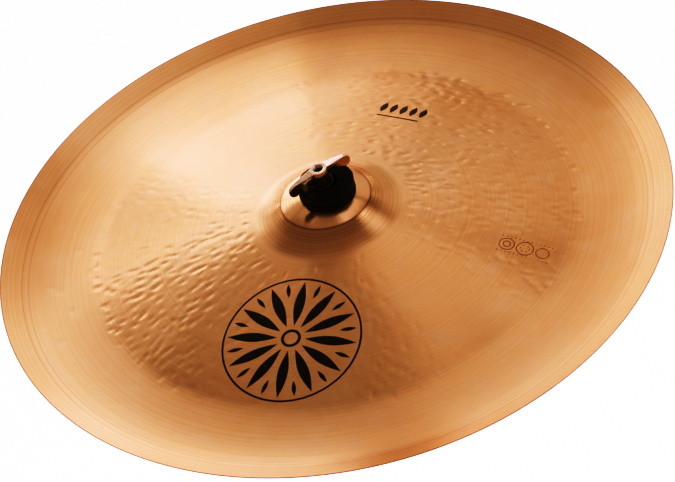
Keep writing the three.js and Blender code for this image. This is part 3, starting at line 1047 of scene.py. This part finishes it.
# Wing nut. Cast in zinc and nickel plated, with a thread tapped through its hub: two wings that
# droop to thin tips, and a tab beside the root of each one. It is spun down onto the washer.
casting_grain = 0.14 * mm
casting_smooth = 3
casting_waver = 0.03 * mm
tapped_bore = 3.3 * mm
tapped_depth = 0.25 * mm
nickel_pale = (1.0, 0.70, 0.48, 1)
nickel_warm = (0.97, 0.61, 0.40, 1)
nickel_dull = (0.35, 0.20, 0.15, 1)
# A near-black painted shade, and where it is painted: below the wings round the hub, and on the steep
# faces of the left wing.
nickel_painted_shade = (0.02, 0.012, 0.01, 1)
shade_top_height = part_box("wing_nut")[1].z - 1.5 * mm
shade_reach = (15 * mm, 11 * mm)
shaded_wing_span = (-6 * mm, -14 * mm)


def nickel():
    """Nickel on cast zinc: pinkish, with flow marks, and painted shade below the wings and on the steep
    faces of the left wing.
    """
    finish, shader, place = new_finish("nickel plate", Metallic=1.0)
    flow = noise_at(place, 330.0, 5.0, 0.6)
    pits = band(noise_at(place, 1500.0), 0.62, 0.75)
    _, scratch, bare = wear(place, 0.0, 0.15)
    colour = mix(band(flow, 0.35, 0.65), nickel_pale, nickel_warm)
    colour = mix(calc("MULTIPLY", pits, 0.3), colour, nickel_dull)
    colour = mix(bare, colour, nickel_pale)
    axes = axes_of(place)
    facing = axes_of(put(shader.id_data, "ShaderNodeTexCoord").outputs["Normal"])
    from_axis = effect(spun_lines, place, Spacing=mm)["Radius"]
    # Painted shade, darker and rougher, below the wings round the hub and on the steep faces of the left
    # wing.
    level = calc("MULTIPLY_ADD", flow, 1 * mm, axes["Z"])
    low = band(level, shade_top_height, shade_top_height - 1 * mm, 0.0, 0.97)
    shade_under_wings = calc("MULTIPLY", low, band(from_axis, *shade_reach))
    steep = band(facing["Z"], 0.75, 0.45, 0.0, 0.95)
    shade_on_left_wing = calc("MULTIPLY", steep, band(axes["X"], *shaded_wing_span))
    painted_shade = calc("MAXIMUM", shade_under_wings, shade_on_left_wing)
    colour = mix(painted_shade, colour, nickel_painted_shade)
    rough = calc("MULTIPLY_ADD", pits, 0.2, band(flow, 0.3, 0.7, 0.16, 0.24))
    rough = calc("MULTIPLY_ADD", painted_shade, 0.4, rough)
    relief = calc("MULTIPLY_ADD", calc("MAXIMUM", pits, scratch), -0.5, flow)
    dress(shader, colour, rough, relief, 0.12, 0.08 * mm)
    return finish


def cast_nut():
    """The nut's own solid with the soft edges and slight waver of a casting, and a tapped bore."""
    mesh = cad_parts["wing_nut"].data.copy()
    mesh.materials.clear()
    mesh.materials.append(nickel())
    piece = new_object("wing_nut_casting", mesh)
    grain = piece.modifiers.new("grain", "REMESH")
    grain.mode = "VOXEL"
    grain.voxel_size = casting_grain
    soften = piece.modifiers.new("soften", "SMOOTH")
    soften.factor = 0.5
    soften.iterations = casting_smooth
    settle(piece)
    for vertex, normal in [(vertex, vertex.normal.copy()) for vertex in piece.data.vertices]:
        x, y, z = vertex.co
        radius = math.hypot(x, y)
        if radius < tapped_bore + 2 * casting_grain and abs(normal.z) < 0.8:
            thread = tapped_depth * (1 - 2 * tooth(math.atan2(y, x), z))
            share = (tapped_bore + thread) / radius
            vertex.co = (x * share, y * share, z)
        else:
            vertex.co -= normal * casting_waver * (0.5 + 0.5 * noise.noise(vertex.co / (3 * mm)))
    piece.data.shade_smooth()
    return piece


wing_nut = cast_nut()
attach(wing_nut, "wing_nut")
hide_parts("wing_nut")

# Studio. A pale floor well below the cymbal, as under a stand, in a dim room with a paler horizon.
# Soft boxes stand behind the cymbal, most of them to the left, others hang over it and at its right
# side, and a small card hangs close to its rim.
floor_drop = 0.9
floor_reach = 30.0
floor_grey = (0.9, 0.9, 0.9, 1)
floor_white = (1, 1, 1, 1)
floor_glow = 0.8
room_dim = (0.115, 0.100, 0.085, 1)
room_pale = (0.41, 0.41, 0.34, 1)
box_tint = (0.93, 1.0, 1.14)
soft_boxes = {
    "back strip": ((-0.28, 1.55, 0.25), (1.45, 0.16), 1.44),
    "back box": ((-0.10, 0.80, 0.35), (0.45, 0.55), 0.46),
    "left box": ((-0.45, 0.70, 0.50), (0.75, 0.60), 0.20),
    "left spot": ((-0.47, 0.78, 0.56), (0.26, 0.20), 0.9),
    "left strip": ((-0.35, 0.80, 1.35), (0.20, 0.45), 0.41),
    "high panel": ((-0.12, 1.75, 1.35), (0.85, 0.20), 0.82),
    "middle panel": ((0.08, 0.62, 0.90), (0.24, 0.24), 0.36),
    "right box": ((0.70, 1.10, 0.90), (1.30, 0.75), 0.28),
    "side panel": ((0.75, 0.08, 0.95), (0.50, 0.40), 0.8),
    "ceiling wash": ((0.0, 0.25, 1.7), (1.0, 0.8), 0.09),
    "ceiling panel": ((0.40, 0.80, 1.70), (0.27, 0.80), 0.74),
    "near card": ((-0.06, 0.26, 0.12), (0.14, 0.13), 0.45),
}
floor_finish, _, _ = new_finish(
    "pale floor", Roughness=0.9, Base_Color=floor_grey,
    Emission_Color=floor_white, Emission_Strength=floor_glow,
)
floor_corners = np.array([(-1, -1), (1, -1), (1, 1), (-1, 1)]) * floor_reach
floor_mesh = bpy.data.meshes.new("floor")
floor_mesh.from_pydata([(x, y, -floor_drop) for x, y in floor_corners], [], [(0, 1, 2, 3)])
floor_mesh.materials.append(floor_finish)
floor = new_object("floor", floor_mesh)

rim_middle = Vector((0, 0, rim_height))
for name, (place, size, brightness) in soft_boxes.items():
    light = bpy.data.lights.new(name, "AREA")
    light.shape = "RECTANGLE"
    light.size, light.size_y = size
    light.energy = brightness * math.pi * size[0] * size[1]
    light.color = box_tint
    lamp = new_object(name, light)
    lamp.location = place
    lamp.rotation_mode = "QUATERNION"
    lamp.rotation_quaternion = (lamp.location - rim_middle).to_track_quat("Z", "Y")
    lamp.visible_camera = False

room = bpy.data.worlds.new("studio")
bpy.context.scene.world = room
room.use_nodes = True
room_tree = room.node_tree
rise = axes_of(put(room_tree, "ShaderNodeTexCoord").outputs["Generated"])["Z"]
wall = mix(band(rise, 0.0, 0.4), room_pale, room_dim)
room_tree.links.new(wall, room_tree.nodes["Background"].inputs["Color"])

# Camera. It looks down on the cymbal from in front, rolled to the right, from about four times
# the cymbal's width away.
camera_distance = 1.6
camera_rise = math.radians(41.77)
camera_roll = math.radians(-15.07)
picture_width = 675
focal_length = 2535
rim_middle_right = -6.8
rim_middle_up = 24.5
film_width = 36

tilted = Matrix.Rotation(math.pi / 2 - camera_rise, 3, "X")
right, up, back = (tilted @ Matrix.Rotation(camera_roll, 3, "Z")).col
camera_place = rim_middle + back * camera_distance
aim = rim_middle - (right * rim_middle_right + up * rim_middle_up) * (camera_distance / focal_length)
look_back = (camera_place - aim).normalized()
frame_right = up.cross(look_back).normalized()
frame_up = look_back.cross(frame_right)
lens = bpy.data.cameras.new("camera")
lens.sensor_width = film_width
lens.lens = film_width * focal_length / picture_width
camera = new_object("camera", lens)
turned = Matrix((frame_right, frame_up, look_back)).transposed().to_4x4()
camera.matrix_world = Matrix.Translation(camera_place) @ turned
bpy.context.scene.camera = camera

# The photograph has deep shadows and soft highlights, as print film has, and its shadows are
# warmer than its highlights. Each pair is a brightness in the studio and the one it is printed with.
film_print = [(0.05, 0.03), (0.1, 0.1), (0.2, 0.31), (0.3, 0.52), (0.45, 0.73), (0.65, 0.89)]
red_print = [(0.1, 0.107), (0.33, 0.345), (0.55, 0.56)]
blue_print = [(0.04, 0.03), (0.1, 0.095), (0.2, 0.22), (0.3, 0.365), (0.4, 0.5), (0.7, 0.79)]
view = bpy.context.scene.view_settings
view.view_transform = "Standard"
view.use_curve_mapping = True
for channel, pairs in ((3, film_print), (0, red_print), (2, blue_print)):
    for seen, printed in pairs:
        view.curve_mapping.curves[channel].points.new(seen, printed)
view.curve_mapping.update()
